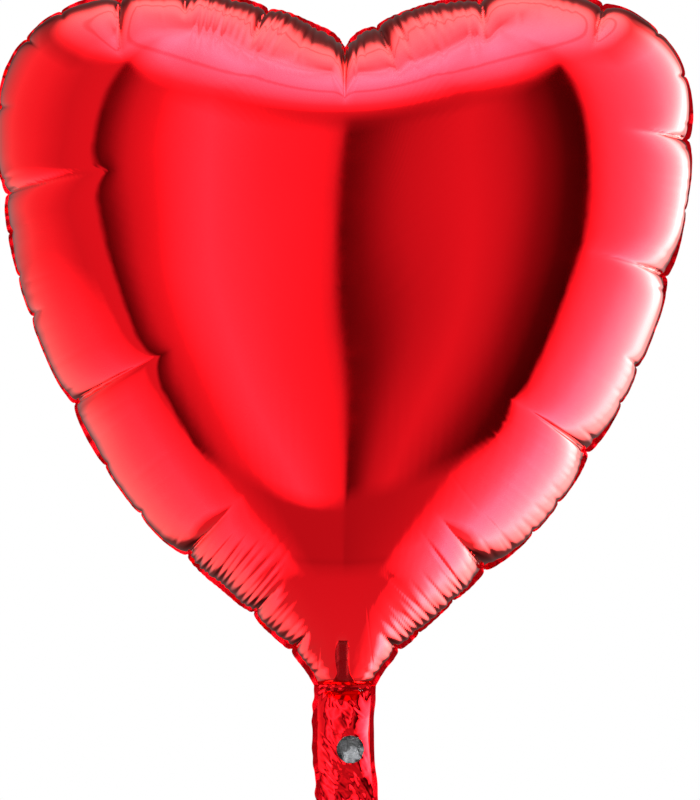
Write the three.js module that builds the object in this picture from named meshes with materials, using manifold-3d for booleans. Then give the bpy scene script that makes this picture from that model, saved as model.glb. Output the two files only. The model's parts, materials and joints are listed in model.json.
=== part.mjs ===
// A heart-shaped foil balloon, inflated: two foil panels heat-sealed round their edge, a flat filling neck
// with a punched fill hole, a tail below it, and the two clear films of the self-closing valve inside.
// Millimetres, +Z up, the front faces -Y, and the origin is the middle of the neck's root, where the
// balloon is tied.
import * as THREE from "three";
import { mergeVertices } from "three/addons/utils/BufferGeometryUtils.js";
import Module from "manifold-3d";

const wasm = await Module();
wasm.setup();

// ---- Driving dimensions ----
const HEART_WIDTH = 372;
const HEART_HEIGHT = 373; // neck root to the top of the lobes
const HEART_DEPTH = 172; // front face to back face
const FOIL = 0.4; // wall of every foil panel: the real laminate is 0.04
const VALVE_FILM = 0.2; // wall of each valve film: the real film is 0.05
const CLEARANCE = 0.3; // gap left wherever two pieces meet

const SEAL_WIDTH = 3.5; // heat-sealed margin, fused from both panels
const SEAL_LAP = 1; // how far the margin reaches in behind the panels' edges
const NECK_WIDTH = 33.5;
const NECK_LENGTH = 48;
const TAIL_LENGTH = 42;
const TAIL_FLARE = 4; // how much wider the tail's free end is
const BEND_GAP = 3; // bare length at each bend, where the film flexes
const FLAT_BULGE = 0.8; // how far a film stands out in the middle of each end of the neck
const FRONT_BULGE = 5; // the same half way down the neck, in front
const BACK_BULGE = 3; // and behind
const FILM_GAP = 0.5; // space between the two foils at their sealed edges

const FILL_HOLE_RADIUS = 7.5;
const FILL_HOLE_RISE = 17; // from the neck's lower edge to the hole's centre
const FILL_HOLE_MARGIN = 2.5; // from the hole to the film's right edge
const VALVE_MARGIN = 3; // from the valve's sides to the side seals
const VALVE_REACH = 62; // how far the valve reaches up into the heart
const VALVE_END = 3; // from the valve's lower ends to the fill hole, and to the neck's lower edge

const CREASE_NOTCH = 4; // how far a gather draws the seam in
const CREASE_VALLEY = 9; // how far it sinks into the panel beside the seam
const CREASE_REACH = 0.32; // share of the way to the heart's middle that a full crease runs

// The right half of the heart's outline above the neck, as shares of half the width and of the height.
const OUTLINE = [
  [0.13, 0.04],
  [0.305, 0.123],
  [0.567, 0.238],
  [0.786, 0.401],
  [0.936, 0.586],
  [1, 0.776],
  [0.963, 0.904],
  [0.786, 0.981],
  [0.51, 1],
  [0.24, 0.981],
  [0, 0.932],
];
// Where the rim is gathered: each crease's place as a share of the rim's length, from the neck's right
// corner round to its left one, and its strength.
const CREASES = [
  [0, 0.4], [0.021, 0.6], [0.052, 0.4], [0.074, 1], [0.12, 0.5], [0.146, 1], [0.188, 0.5], [0.234, 1],
  [0.266, 0.4], [0.298, 1], [0.336, 0.5], [0.378, 0.9], [0.436, 0.9], [0.484, 0.8], [0.506, 1],
  [0.536, 0.8], [0.575, 0.6], [0.606, 0.8], [0.644, 0.5], [0.688, 0.5], [0.73, 1], [0.77, 0.5],
  [0.828, 1], [0.866, 0.4], [0.915, 1], [0.955, 0.8], [0.979, 0.5], [1, 0.4],
];
const CREASE_SHARPNESS = 0.6; // below 1, a gather is narrow and the film between two of them stays round
const MIDDLE_HEIGHT = 0.56; // height of the crown, as a share of the heart's
const SPOKE_SPACING = 13; // along the rim
const SLOPE_STEP = 0.003; // share of the rim each side of a point that its direction is taken over
const EDGE_POINTS = 160; // on the outline that the chords are measured to
const MOUTH_STEPS = 4;
const NECK_ROWS = 12;
const TAIL_ROWS = 8;
const SLEEVE_ROWS = 8;
const INLET_FRONT_ROWS = 5;
const INLET_BACK_ROWS = 11;
const TAIL_FLAT_FROM = 0.4; // share of the way down the tail at which its two films lie flat together
const HOLE_SIDES = 40;
const RINGS = [1, 0.985, 0.95, 0.9, 0.82, 0.7, 0.54, 0.33];
const RAYS = 36; // chords tried through each point to find the height there
const CROWN_FLATTENING = 0.15; // how much the crown is pressed down from a soap film's height

// ---- Looks ----
const RED_FOIL = { color: 0xd8041f, roughness: 0.16, metalness: 1 };
const SEALED_FOIL = { color: 0xb00318, roughness: 0.25, metalness: 1 };
const CLEAR_FILM = { color: 0xd6dade, roughness: 0.2, metalness: 0 };

// ---- Derived places ----
const neckTop = -BEND_GAP;
const neckBottom = neckTop - NECK_LENGTH;
const tailTop = neckBottom - BEND_GAP;
const tailBottom = tailTop - TAIL_LENGTH;
const filmHalf = NECK_WIDTH / 2 - SEAL_WIDTH - CLEARANCE; // half width of the neck's films
const valveHalf = filmHalf - VALVE_MARGIN;
const holeX = filmHalf - FILL_HOLE_MARGIN - FILL_HOLE_RADIUS;
const holeZ = neckBottom + FILL_HOLE_RISE;
const edgeY = FILM_GAP / 2;
const rimY = FOIL + CLEARANCE;

// ---- Walls and solids ----

// A solid wall between two grids of points with the same rows and columns. With wrap the last column joins
// the first, and with poles one point closes each grid's last row.
function wallBetween(front, back, { wrap = false, poles = null, flip = false } = {}) {
  const rows = front.length;
  const columns = front[0].length;
  const points = [...front.flat(), ...back.flat(), ...(poles ?? [])];
  const triangles = [];
  const at = (layer, row, column) => (layer * rows + row) * columns + (column % columns);
  const face = (a, b, c) => triangles.push(flip ? [a, c, b] : [a, b, c]);
  const quad = (a, b, c, d) => {
    face(a, b, c);
    face(a, c, d);
  };
  const last = rows - 1;
  for (let column = 0; column < (wrap ? columns : columns - 1); column++) {
    const next = column + 1;
    for (let row = 0; row < last; row++) {
      quad(at(0, row, column), at(0, row, next), at(0, row + 1, next), at(0, row + 1, column));
      quad(at(1, row, column), at(1, row + 1, column), at(1, row + 1, next), at(1, row, next));
    }
    quad(at(1, 0, column), at(1, 0, next), at(0, 0, next), at(0, 0, column));
    if (poles) {
      face(at(0, last, column), at(0, last, next), points.length - 2);
      face(at(1, last, next), at(1, last, column), points.length - 1);
    } else {
      quad(at(0, last, column), at(0, last, next), at(1, last, next), at(1, last, column));
    }
  }
  for (let row = 0; row < last && !wrap; row++) {
    quad(at(0, row, 0), at(0, row + 1, 0), at(1, row + 1, 0), at(1, row, 0));
    const far = columns - 1;
    quad(at(1, row, far), at(1, row + 1, far), at(0, row + 1, far), at(0, row, far));
  }
  const geometry = new THREE.BufferGeometry().setFromPoints(points);
  return geometry.setIndex(triangles.flat());
}

function solidOf(geometry) {
  const bare = geometry.toNonIndexed();
  bare.deleteAttribute("normal");
  bare.deleteAttribute("uv");
  const merged = mergeVertices(bare, 1e-4);
  const vertProperties = merged.attributes.position.array;
  return new wasm.Manifold(
    new wasm.Mesh({ numProp: 3, vertProperties, triVerts: new Uint32Array(merged.index.array) }),
  );
}

function geometryOf(solid) {
  const mesh = solid.getMesh();
  const geometry = new THREE.BufferGeometry();
  geometry.setAttribute("position", new THREE.BufferAttribute(mesh.vertProperties, mesh.numProp));
  return geometry.setIndex(new THREE.BufferAttribute(mesh.triVerts, 1));
}

function piece(name, geometry, look) {
  const mesh = new THREE.Mesh(geometry, new THREE.MeshStandardMaterial(look));
  mesh.name = name;
  return mesh;
}

// ---- The heart's outline, seen from the front, and its spokes from the rim to the middle ----

const corner = new THREE.Vector2(NECK_WIDTH / 2 - SEAL_WIDTH + SEAL_LAP, 0);
const shoulder = OUTLINE.map(([x, z]) => new THREE.Vector2((x * HEART_WIDTH) / 2, z * HEART_HEIGHT));
const rightHalf = [corner, ...shoulder];
const leftHalf = rightHalf.map((p) => new THREE.Vector2(-p.x, p.y)).reverse();
const outline = new THREE.CurvePath();
outline.add(new THREE.SplineCurve(rightHalf));
outline.add(new THREE.SplineCurve(leftHalf));
const rimLength = outline.getLength();

// Each spoke knows its point on the rim, the way out of the heart there, and how strongly a gather draws it
// in: fully at a crease, and not at all half way to the next one.
function rimSpokes() {
  const spokes = [];
  CREASES.slice(0, -1).forEach(([start, startStrength], i) => {
    const [end, endStrength] = CREASES[i + 1];
    const steps = Math.max(2, Math.round(((end - start) * rimLength) / SPOKE_SPACING));
    for (let k = 0; k < steps; k++) {
      const between = k / steps;
      const strength = THREE.MathUtils.lerp(startStrength, endStrength, between);
      const pinch = 1 - Math.sin(Math.PI * between) ** CREASE_SHARPNESS;
      spokes.push(rimSpoke(start + (end - start) * between, strength, pinch));
    }
  });
  return [...spokes, rimSpoke(1, 0, 0)];
}

function rimSpoke(along, strength, pinch) {
  const before = outline.getPointAt(Math.max(0, along - SLOPE_STEP));
  const after = outline.getPointAt(Math.min(1, along + SLOPE_STEP));
  const out = new THREE.Vector2(after.y - before.y, before.x - after.x).normalize();
  const gather = along === 0 ? 0 : strength * pinch;
  return { rim: outline.getPointAt(along), out, gather, reach: CREASE_REACH * strength, mouth: 0 };
}

// Across the neck's mouth the rim is open, from its left corner back to its right one.
function mouthSpokes() {
  return Array.from({ length: MOUTH_STEPS + 1 }, (_, k) => {
    const share = (2 * k) / MOUTH_STEPS - 1;
    const mouth = edgeY + FOIL + FLAT_BULGE * lens(share);
    const rim = new THREE.Vector2(share * filmHalf, 0);
    return { rim, out: new THREE.Vector2(0, -1), gather: 0, reach: CREASE_REACH, mouth };
  });
}

// The neck's section: how far a film stands out at a share of the way from its middle to its edge.
function lens(share) {
  return 1 - Math.abs(share) ** 3;
}

const rim = rimSpokes();
const spokes = [...rim, ...mouthSpokes()];
const middle = new THREE.Vector2(0, HEART_HEIGHT * MIDDLE_HEIGHT);

// ---- The heart's panels ----

// How high an inflated film stands over a point of the outline. It follows the products of the two parts of
// each chord through the point, which makes a round section across a strip and a dome over a disc.
const edge = outline.getSpacedPoints(EDGE_POINTS);
function filmHeight(point) {
  let sum = 0;
  for (let ray = 0; ray < RAYS; ray++) {
    const angle = (Math.PI * ray) / RAYS;
    const dx = Math.cos(angle);
    const dz = Math.sin(angle);
    let ahead = Infinity;
    let behind = Infinity;
    edge.forEach((a, i) => {
      const b = edge[(i + 1) % edge.length];
      const cross = dx * (b.y - a.y) - dz * (b.x - a.x);
      const along = ((a.x - point.x) * dz - (a.y - point.y) * dx) / cross;
      if (cross === 0 || along < 0 || along > 1) return;
      const distance = ((a.x - point.x) * (b.y - a.y) - (a.y - point.y) * (b.x - a.x)) / cross;
      if (distance > 0) ahead = Math.min(ahead, distance);
      else behind = Math.min(behind, -distance);
    });
    sum += 1 / (ahead * behind);
  }
  return Math.sqrt(RAYS / (2 * sum));
}
const crownHeight = filmHeight(middle);

// The front panel's outer face at one spoke and ring.
function facePoint(spoke, ring) {
  const flat = middle.clone().lerp(spoke.rim, ring);
  if (ring === 1) {
    flat.addScaledVector(spoke.out, -CREASE_NOTCH * spoke.gather);
    return new THREE.Vector3(flat.x, -Math.max(rimY, spoke.mouth), flat.y);
  }
  const share = filmHeight(flat) / crownHeight;
  const dome = (share * (1 - CROWN_FLATTENING * share ** 3)) / (1 - CROWN_FLATTENING);
  const height = Math.hypot(spoke.mouth, (dome * HEART_DEPTH) / 2);
  const fade = THREE.MathUtils.smoothstep(ring, 1 - spoke.reach, 1 - spoke.reach / 5);
  const valley = CREASE_VALLEY * spoke.gather * fade;
  const sideways = Math.sqrt(Math.max(0, 1 - dome ** 2));
  flat.addScaledVector(spoke.out, -valley * sideways);
  return new THREE.Vector3(flat.x, -height + valley * dome, flat.y);
}

// The same panel's inner face, one wall's thickness in from the outer one.
function innerFace(outer, crown) {
  const count = spokes.length;
  return outer.map((row, r) =>
    row.map((point, s) => {
      const { mouth, out } = spokes[s];
      if (r === 0 && mouth) return point.clone().add(new THREE.Vector3(0, FOIL, 0));
      if (r === 0) return point.clone().add(new THREE.Vector3(-out.x * FOIL, 0, -out.y * FOIL));
      const across = new THREE.Vector3().subVectors(row[(s + 1) % count], row[(s + count - 1) % count]);
      const inwards = new THREE.Vector3().subVectors(outer[r + 1]?.[s] ?? crown, outer[r - 1][s]);
      return point.clone().addScaledVector(across.cross(inwards).normalize(), -FOIL);
    }),
  );
}

const outerFace = RINGS.map((ring) => spokes.map((spoke) => facePoint(spoke, ring)));
const outerCrown = new THREE.Vector3(middle.x, -HEART_DEPTH / 2, middle.y);
const innerCrown = new THREE.Vector3(middle.x, FOIL - HEART_DEPTH / 2, middle.y);

function heartPanel(name, side) {
  const place = (point) => new THREE.Vector3(point.x, -side * point.y, point.z);
  const placeAll = (grid) => grid.map((row) => row.map(place));
  const poles = [place(outerCrown), place(innerCrown)];
  const faces = [placeAll(outerFace), placeAll(innerFace(outerFace, outerCrown))];
  return piece(name, wallBetween(...faces, { wrap: true, poles, flip: side > 0 }), RED_FOIL);
}

// The fused margin all round the heart, from one side of the neck to the other.
function rimSeal() {
  const edgeLine = (offset, y) =>
    rim.map(({ rim: point, out, gather }) => {
      const shift = offset - CREASE_NOTCH * gather;
      return new THREE.Vector3(point.x + out.x * shift, y, point.y + out.y * shift);
    });
  const face = (y) => [edgeLine(SEAL_WIDTH - SEAL_LAP, y), edgeLine(-SEAL_LAP, y)];
  return piece("rim_seal", wallBetween(face(-FOIL), face(FOIL)), SEALED_FOIL);
}

// ---- The neck, the tail and the valve ----

const tailShare = (z) => THREE.MathUtils.clamp((tailTop - z) / TAIL_LENGTH, 0, 1);
const widening = (z) => (TAIL_FLARE / 2) * tailShare(z) ** 2;

// How far the inner face of a foil stands from the middle plane.
function foilInside(side, share, z) {
  const peak = side < 0 ? FRONT_BULGE : BACK_BULGE;
  const neckShare = THREE.MathUtils.clamp((neckTop - z) / NECK_LENGTH, 0, 1);
  const flattening = 1 - THREE.MathUtils.smoothstep(tailShare(z), 0, TAIL_FLAT_FROM);
  const bulge = FLAT_BULGE * flattening + (peak - FLAT_BULGE) * Math.sin(Math.PI * neckShare) ** 2;
  return edgeY + bulge * lens(share);
}

// A film of the neck, tail or valve, from top to bottom: halfWidth(z) is its half width, and inside(share, z)
// is how far its inner face stands from the middle plane.
function film({ side, top, bottom, halfWidth, inside, wall, rows, columns = 8 }) {
  const grid = (extra) =>
    Array.from({ length: rows + 1 }, (_, row) => {
      const z = THREE.MathUtils.lerp(bottom, top, row / rows);
      return Array.from({ length: columns + 1 }, (_, column) => {
        const share = (2 * column) / columns - 1;
        return new THREE.Vector3(share * halfWidth(z), side * (inside(share, z) + extra), z);
      });
    });
  return wallBetween(grid(wall), grid(0), { flip: side > 0 });
}

function foilFilm(side, top, bottom, rows) {
  const halfWidth = (z) => filmHalf + widening(z);
  const inside = (share, z) => foilInside(side, share, z);
  return film({ side, top, bottom, rows, halfWidth, inside, wall: FOIL });
}

// The valve's films lie just inside the foils, and go on as a flat sleeve above the neck.
function valveFilm(side, top, bottom, rows) {
  const inside = (share, z) =>
    foilInside(side, (share * valveHalf) / filmHalf, z) - CLEARANCE - VALVE_FILM;
  return film({ side, top, bottom, rows, halfWidth: () => valveHalf, inside, wall: VALVE_FILM });
}

function sideSeal(side, top, bottom, rows) {
  const outer = (z) => NECK_WIDTH / 2 + widening(z);
  const face = (y) =>
    Array.from({ length: rows + 1 }, (_, row) => {
      const z = THREE.MathUtils.lerp(bottom, top, row / rows);
      return [outer(z) - SEAL_WIDTH, outer(z)].map((x) => new THREE.Vector3(side * x, y, z));
    });
  return wallBetween(face(-FOIL), face(FOIL), { flip: side < 0 });
}

function punchedNeck() {
  const depth = 4 * FRONT_BULGE; // from the middle plane to well in front of the film
  const punch = new THREE.CylinderGeometry(FILL_HOLE_RADIUS, FILL_HOLE_RADIUS, depth, HOLE_SIDES);
  punch.translate(holeX, -depth / 2, holeZ);
  const neck = foilFilm(-1, neckTop, neckBottom, NECK_ROWS);
  return geometryOf(solidOf(neck).subtract(solidOf(punch)));
}

const inletBottom = holeZ + FILL_HOLE_RADIUS + VALVE_END;
const backInletBottom = neckBottom + VALVE_END;

const group = new THREE.Group();
group.add(
  heartPanel("front_panel", -1),
  heartPanel("back_panel", 1),
  rimSeal(),
  piece("valve_sleeve_front", valveFilm(-1, VALVE_REACH, 0, SLEEVE_ROWS), CLEAR_FILM),
  piece("valve_sleeve_back", valveFilm(1, VALVE_REACH, 0, SLEEVE_ROWS), CLEAR_FILM),
  piece("neck_front", punchedNeck(), RED_FOIL),
  piece("neck_back", foilFilm(1, neckTop, neckBottom, NECK_ROWS), RED_FOIL),
  piece("valve_inlet_front", valveFilm(-1, neckTop, inletBottom, INLET_FRONT_ROWS), CLEAR_FILM),
  piece("valve_inlet_back", valveFilm(1, neckTop, backInletBottom, INLET_BACK_ROWS), CLEAR_FILM),
  piece("neck_seal_left", sideSeal(-1, neckTop, neckBottom, 1), SEALED_FOIL),
  piece("neck_seal_right", sideSeal(1, neckTop, neckBottom, 1), SEALED_FOIL),
  piece("tail_front", foilFilm(-1, tailTop, tailBottom, TAIL_ROWS), RED_FOIL),
  piece("tail_back", foilFilm(1, tailTop, tailBottom, TAIL_ROWS), RED_FOIL),
  piece("tail_seal_left", sideSeal(-1, tailTop, tailBottom, TAIL_ROWS), SEALED_FOIL),
  piece("tail_seal_right", sideSeal(1, tailTop, tailBottom, TAIL_ROWS), SEALED_FOIL),
);
export default group;
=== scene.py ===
"""The looks of an inflated, heart-shaped foil balloon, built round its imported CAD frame.

Every length is in metres. The front of the balloon faces -Y, +Z is up, and the origin is the root of the
neck, where the balloon is tied.
"""

import functools
import json
import math

import bmesh
import bpy
import numpy as np
from bpy.props import FloatProperty, FloatVectorProperty, IntProperty, PointerProperty
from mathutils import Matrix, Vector
from mathutils.bvhtree import BVHTree


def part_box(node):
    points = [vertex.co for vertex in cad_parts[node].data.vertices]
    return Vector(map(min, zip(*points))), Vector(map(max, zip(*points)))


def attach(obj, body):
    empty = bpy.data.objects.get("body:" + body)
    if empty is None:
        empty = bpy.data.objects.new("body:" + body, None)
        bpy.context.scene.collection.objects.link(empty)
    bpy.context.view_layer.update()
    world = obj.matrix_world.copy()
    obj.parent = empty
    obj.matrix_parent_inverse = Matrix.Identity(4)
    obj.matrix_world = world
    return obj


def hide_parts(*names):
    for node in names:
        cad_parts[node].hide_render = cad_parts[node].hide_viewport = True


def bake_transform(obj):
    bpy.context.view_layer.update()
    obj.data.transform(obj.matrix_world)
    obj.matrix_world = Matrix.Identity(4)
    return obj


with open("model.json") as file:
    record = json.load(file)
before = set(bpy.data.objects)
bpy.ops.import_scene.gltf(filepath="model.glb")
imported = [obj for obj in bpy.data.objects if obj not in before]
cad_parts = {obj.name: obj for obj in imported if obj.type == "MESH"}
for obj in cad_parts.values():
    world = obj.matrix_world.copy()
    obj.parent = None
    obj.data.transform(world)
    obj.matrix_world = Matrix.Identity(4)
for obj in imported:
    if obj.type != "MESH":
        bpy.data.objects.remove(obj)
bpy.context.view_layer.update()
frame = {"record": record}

bl_info = {
    "name": "Heart Foil Balloon",
    "version": (1, 0, 0),
    "blender": (4, 5, 0),
    "location": "View3D > Sidebar > Balloon",
    "description": "Builds an inflated heart-shaped foil balloon with its neck, tail and film valve",
    "category": "Add Mesh",
}

MM = 0.001

# ---- Sizes read from the frame ----
PANEL_LOW, PANEL_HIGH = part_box("front_panel")
RIM_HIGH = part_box("rim_seal")[1]
TAIL_LOW, TAIL_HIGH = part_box("tail_front")
NECK_SEAL_LOW, NECK_SEAL_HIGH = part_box("neck_seal_right")
TAIL_SEAL_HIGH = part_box("tail_seal_right")[1]
SLEEVE_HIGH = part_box("valve_sleeve_front")[1]
INLET_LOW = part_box("valve_inlet_front")[0]
BACK_INLET_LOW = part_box("valve_inlet_back")[0]
OPENINGS = {opening["name"]: opening["box_m"] for opening in frame["record"]["physics"]["openings"]}
HOLE_LOW, HOLE_HIGH = OPENINGS["fill_hole"]
HOLE_X = (HOLE_LOW[0] + HOLE_HIGH[0]) / 2
HOLE_Z = (HOLE_LOW[2] + HOLE_HIGH[2]) / 2

HALF_WIDTH = (PANEL_HIGH[0] - PANEL_LOW[0]) / 2
HEIGHT = PANEL_HIGH[2]
CROWN = -PANEL_LOW[1]
SEAL_OUTER = NECK_SEAL_HIGH[0]
SEAL_INNER = NECK_SEAL_LOW[0]
SEAL_LAP = 1 * MM
CORNER_X = SEAL_INNER + SEAL_LAP
FLANGE = RIM_HIGH[0] - PANEL_HIGH[0]

# The right half of the outline above the neck, as shares of half the width and of the height.
OUTLINE = [
    (0.13, 0.04),
    (0.305, 0.123),
    (0.567, 0.238),
    (0.786, 0.401),
    (0.936, 0.586),
    (1.0, 0.776),
    (0.963, 0.904),
    (0.786, 0.981),
    (0.51, 1.0),
    (0.24, 0.981),
    (0.0, 0.932),
]
MIDDLE = np.array([0.0, HEIGHT * 0.56])  # where the mesh's spokes meet
CLEFT_Z = OUTLINE[-1][1] * HEIGHT
CROWN_FLATTENING = 0.15

SEAM_GAP = 0.16 * MM  # half the way between the two films at a seam
FLAT_BULGE = 0.8 * MM  # how far each film stands out in the middle of the flat mouth
FRONT_SWELL = 3.4 * MM  # how much further each film of the neck stands out round the fill hole
BACK_SWELL = 3.2 * MM
TAIL_SWELL = 0.35 * MM
NECK_END = -47 * MM  # where the neck's pieces hand over to the tail's
# The line where the valve is fused to the front film: its middle, and its upper and lower ends.
WELD_X = -1.2 * MM
WELD_TOP = 27 * MM
WELD_LOW = 3 * MM
PINCH_WIDTH = 2.6 * MM  # half widths of the sharp fold in a gather and of the wrinkles beside it
BESIDE_WIDTH = 2.2 * MM
SHARPEST = 2.3 * MM  # the least half width at which a wrinkle is sharp
GATHER_NARROWING = 0.74
ROW_CROWDING = 1.55  # how much closer the mesh rows lie near the seam than near the middle
LOOP_POINTS = 260
PINCH_Z = -2.6 * MM  # the pinched line across the root of the neck, and how far it reaches up and down
PINCH_REACH = 2.4 * MM
FOLD_TOP = -20 * MM  # the fold of the back film that shows through the fill hole
FOLD_BOTTOM = -30.5 * MM
FOLD_RISE = 3.6 * MM

# The deep gathers: place along the rim from the neck's right corner round to its left one, as a share, then
# strength, length over the film in millimetres, and half width in millimetres.
GATHERS = [
    (0.021, 0.7, 38, 11),
    (0.074, 1.0, 78, 24),
    (0.146, 1.0, 92, 32),
    (0.234, 1.0, 84, 33),
    (0.298, 0.9, 70, 28),
    (0.378, 0.9, 56, 27),
    (0.436, 0.9, 64, 26),
    (0.484, 0.7, 76, 15),
    (0.5, 1.3, 84, 15),
    (0.538, 0.8, 64, 17),
    (0.575, 0.7, 48, 18),
    (0.606, 0.9, 66, 24),
    (0.654, 0.45, 32, 16),
    (0.727, 1.0, 96, 34),
    (0.828, 1.1, 100, 36),
    (0.915, 1.0, 82, 26),
    (0.955, 0.8, 56, 15),
    (0.979, 0.7, 40, 11),
]
# The shallow tucks between them, which only reach a little way in from the seam.
TUCKS = [
    (0.033, 0.35, 24, 7),
    (0.054, 0.4, 26, 9),
    (0.102, 0.35, 24, 10),
    (0.12, 0.4, 30, 10),
    (0.173, 0.35, 28, 10),
    (0.191, 0.55, 42, 14),
    (0.266, 0.35, 22, 11),
    (0.327, 0.4, 26, 12),
    (0.35, 0.35, 22, 10),
    (0.634, 0.4, 26, 11),
    (0.688, 0.45, 34, 14),
    (0.745, 0.3, 20, 8),
    (0.765, 0.35, 24, 10),
    (0.784, 0.5, 38, 13),
    (0.86, 0.35, 26, 12),
    (0.887, 0.4, 28, 11),
]
# Stretches of rim with dense fine wrinkles: from, to, how many, how deep, and about how long in millimetres.
WRINKLED = [
    (0.004, 0.018, 4, 1.3, 40),
    (0.024, 0.07, 14, 2.0, 66),
    (0.078, 0.142, 12, 0.8, 88),
    (0.15, 0.19, 7, 0.6, 70),
    (0.24, 0.29, 7, 0.45, 60),
    (0.39, 0.43, 9, 0.6, 60),
    (0.442, 0.482, 10, 2.6, 66),
    (0.487, 0.497, 3, 2.4, 70),
    (0.503, 0.536, 9, 2.6, 70),
    (0.541, 0.572, 8, 2.2, 64),
    (0.58, 0.604, 6, 0.6, 50),
    (0.74, 0.82, 10, 0.35, 60),
    (0.835, 0.91, 9, 0.5, 70),
    (0.918, 0.953, 12, 2.0, 76),
    (0.958, 0.977, 6, 1.3, 66),
    (0.982, 0.996, 4, 1.3, 40),
]

# The studio's brightness by direction. Round the horizon, in degrees to the right of the camera: a bright
# card on the left, a dim one on the right, black gaps at their outer edges and bright walls to the sides.
CARD_LIGHT = [
    (-180, 0.14),
    (-161, 0.09),
    (-142, 0.5),
    (-108, 1.2),
    (-85, 1.1),
    (-66, 0.8),
    (-52, 0.9),
    (-49.5, 0.1),
    (-45, 0.3),
    (-38, 0.8),
    (-30, 1.1),
    (-17, 4.2),
    (-8, 1.9),
    (-1, 1.0),
    (0, 0.12),
    (3, 0.24),
    (8, 0.66),
    (15, 0.92),
    (21, 0.72),
    (29, 0.32),
    (38, 0.1),
    (46.5, 0.05),
    (48.5, 1.0),
    (58, 4.2),
    (78, 8.5),
    (98, 15.0),
    (126, 16.0),
    (142, 2.0),
    (158, 0.1),
    (180, 0.14),
]
# The same below the level of the cards.
LOW_LIGHT = [
    (-180, 0.02),
    (-166, 0.3),
    (-150, 3.0),
    (-122, 6.0),
    (-80, 7.0),
    (-55, 3.0),
    (-44, 0.9),
    (-30, 0.6),
    (-2, 0.62),
    (0, 0.5),
    (20, 0.6),
    (36, 0.7),
    (50, 3.5),
    (68, 10.0),
    (88, 23.0),
    (130, 23.0),
    (150, 9.0),
    (166, 0.3),
    (180, 0.02),
]
# The height of the cards' upper edges, which rise towards their outer ends, and of their lower ones.
CARD_TOP = [
    (-180, 0.6),
    (-75, 0.66),
    (-50, 0.82),
    (-25, 0.66),
    (0, 0.57),
    (25, 0.65),
    (50, 0.82),
    (75, 0.66),
    (180, 0.6),
]
CARD_BOTTOM = [(-180, 0.9), (-62, 0.9), (-50, 0.47), (-1, 0.47), (1, 0.51), (50, 0.51), (62, 0.9), (180, 0.9)]
# How softly the cards' lower edges fade into what is below them.
EDGE_BLUR = [(-180, 0.9), (-62, 0.9), (-50, 0.07), (50, 0.07), (62, 0.9), (180, 0.9)]
# Far below the cards, by degrees of height, with a thin dark line where the floor ends.
FLOOR_LIGHT = [(-90, 0.85), (-62, 0.8), (-57, 0.72), (-55, 0.4), (-53, 0.6), (90, 0.6)]
FLOOR_FROM = 0.795  # how far down that begins, and how sharply
FLOOR_SHARPNESS = 12.0
CEILING_SHARPNESS = 6.0
# How much the light above the cards varies round the horizon.
CEILING_ROUND = [
    (-180, 0.35),
    (-80, 0.5),
    (-52, 0.8),
    (-38, 1.1),
    (-24, 0.85),
    (-9, 1.1),
    (9, 0.85),
    (24, 1.1),
    (40, 0.85),
    (56, 1.0),
    (80, 0.9),
    (180, 0.35),
]
# Above the cards, by degrees of height, with a thin dark line where the ceiling meets the wall.
HIGH_LIGHT = [
    (-90, 0.5),
    (41, 0.5),
    (48, 0.9),
    (53, 3.0),
    (58, 9.0),
    (64.5, 15.0),
    (65.6, 3.0),
    (66.7, 16.0),
    (75, 22.0),
    (84, 20.0),
    (90, 14.0),
]
BRIGHTEST = 24  # what a full ramp of light stands for
CEILING_MOST = 2
CARD_NARROWING = (0.97, 0.22)  # how much narrower the cards get, at their own height and away from it
FLOOR_DROP = 0.75
FLOOR_HALF = 3.0
LENS = 135  # of the camera, whose sensor is 36 wide, both in millimetres
SENSOR = 36
VIEW_WIDTH = 378 * MM
VIEW_MIDDLE = (2.7 * MM, 154 * MM)


# ---- Property groups ----


def length(name, description, default):
    return FloatProperty(name=name, description=description, default=default, unit="LENGTH")


def colour(name, description, default):
    return FloatVectorProperty(name=name, description=description, subtype="COLOR", default=default)


class BalloonFilmSettings(bpy.types.PropertyGroup):
    gather_depth: length("Gather depth", "How deep a full gather sinks beside the seam", 6.2 * MM)
    notch_depth: length("Notch depth", "How far a full gather draws the seam in", 3.6 * MM)
    pinch_depth: length("Pinch depth", "Depth of the sharp fold along a gather", 1.6 * MM)
    wrinkle_depth: length("Wrinkle depth", "Depth of the fine wrinkles at the seam", 0.42 * MM)
    swell: length("Swell", "Height of the broad unevenness of the taut film", 0.5 * MM)
    front_overhang: length("Front overhang", "How far the front film bulges out past its seam", 2.0 * MM)
    back_overhang: length("Back overhang", "How far the back film bulges out past its seam", 3.6 * MM)
    columns: IntProperty(name="Columns", description="Mesh columns round the rim", default=1440, min=360)
    rows: IntProperty(name="Rows", description="Mesh rows from the rim to the middle", default=66, min=12)


class BalloonSealSettings(bpy.types.PropertyGroup):
    thickness: length("Thickness", "Thickness of the fused films", 0.36 * MM)
    rib_spacing: length("Rib spacing", "Distance between the ribs pressed into the seal", 1.5 * MM)
    rib_rise: length("Rib rise", "How far a rib stands out of the seal", 0.04 * MM)
    ruffle: length("Ruffle", "How far the flange's edge waves to and fro", 0.5 * MM)


class BalloonNeckSettings(bpy.types.PropertyGroup):
    crumple: length("Crumple", "Height of the crumples in the neck's film", 1.5 * MM)
    drift: length("Drift", "How far the tail's end drifts to its right", 2.5 * MM)
    hole_radius: length("Fill hole radius", "Radius of the punched fill hole", 7.5 * MM)
    film: length("Film wall", "Wall of the neck's film in the mesh", 0.12 * MM)


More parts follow.
